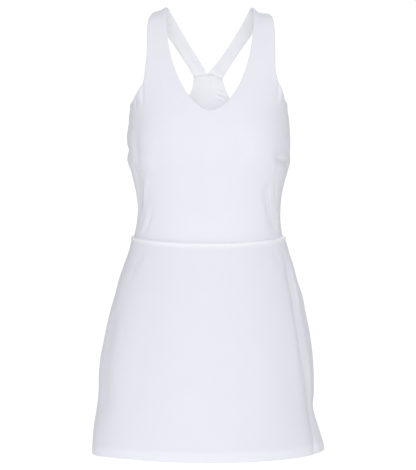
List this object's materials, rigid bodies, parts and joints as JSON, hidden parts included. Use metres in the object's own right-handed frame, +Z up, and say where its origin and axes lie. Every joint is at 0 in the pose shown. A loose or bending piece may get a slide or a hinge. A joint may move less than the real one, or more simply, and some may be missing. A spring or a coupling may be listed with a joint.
{
  "type": "sports dress",
  "caption": "Sleeveless fitted sports dress with a rounded V-neck, slanting racer-back straps, a rolled waist seam and a short flared skirt, filled out as worn.",
  "frame": {"origin": "midway between the shoulders at the height where the strap ridges lie on them, on the line of the ridges", "axes": "+Z up, -Y towards the front of the dress, +X to the right as seen from the front"},
  "size_m": [0.4213, 0.2761, 0.7969],
  "materials": {
    "bodice_knit": "smooth matt-satin stretch knit, cool white",
    "skirt_knit": "smooth matt-satin stretch knit, cool white"
  },
  "bodies": {
    "root": {"bodice_front": "bodice_knit", "bodice_back": "bodice_knit", "back_strap_left": "bodice_knit", "back_strap_right": "bodice_knit", "skirt_front": "skirt_knit", "skirt_back": "skirt_knit"}
  },
  "joints": []
}
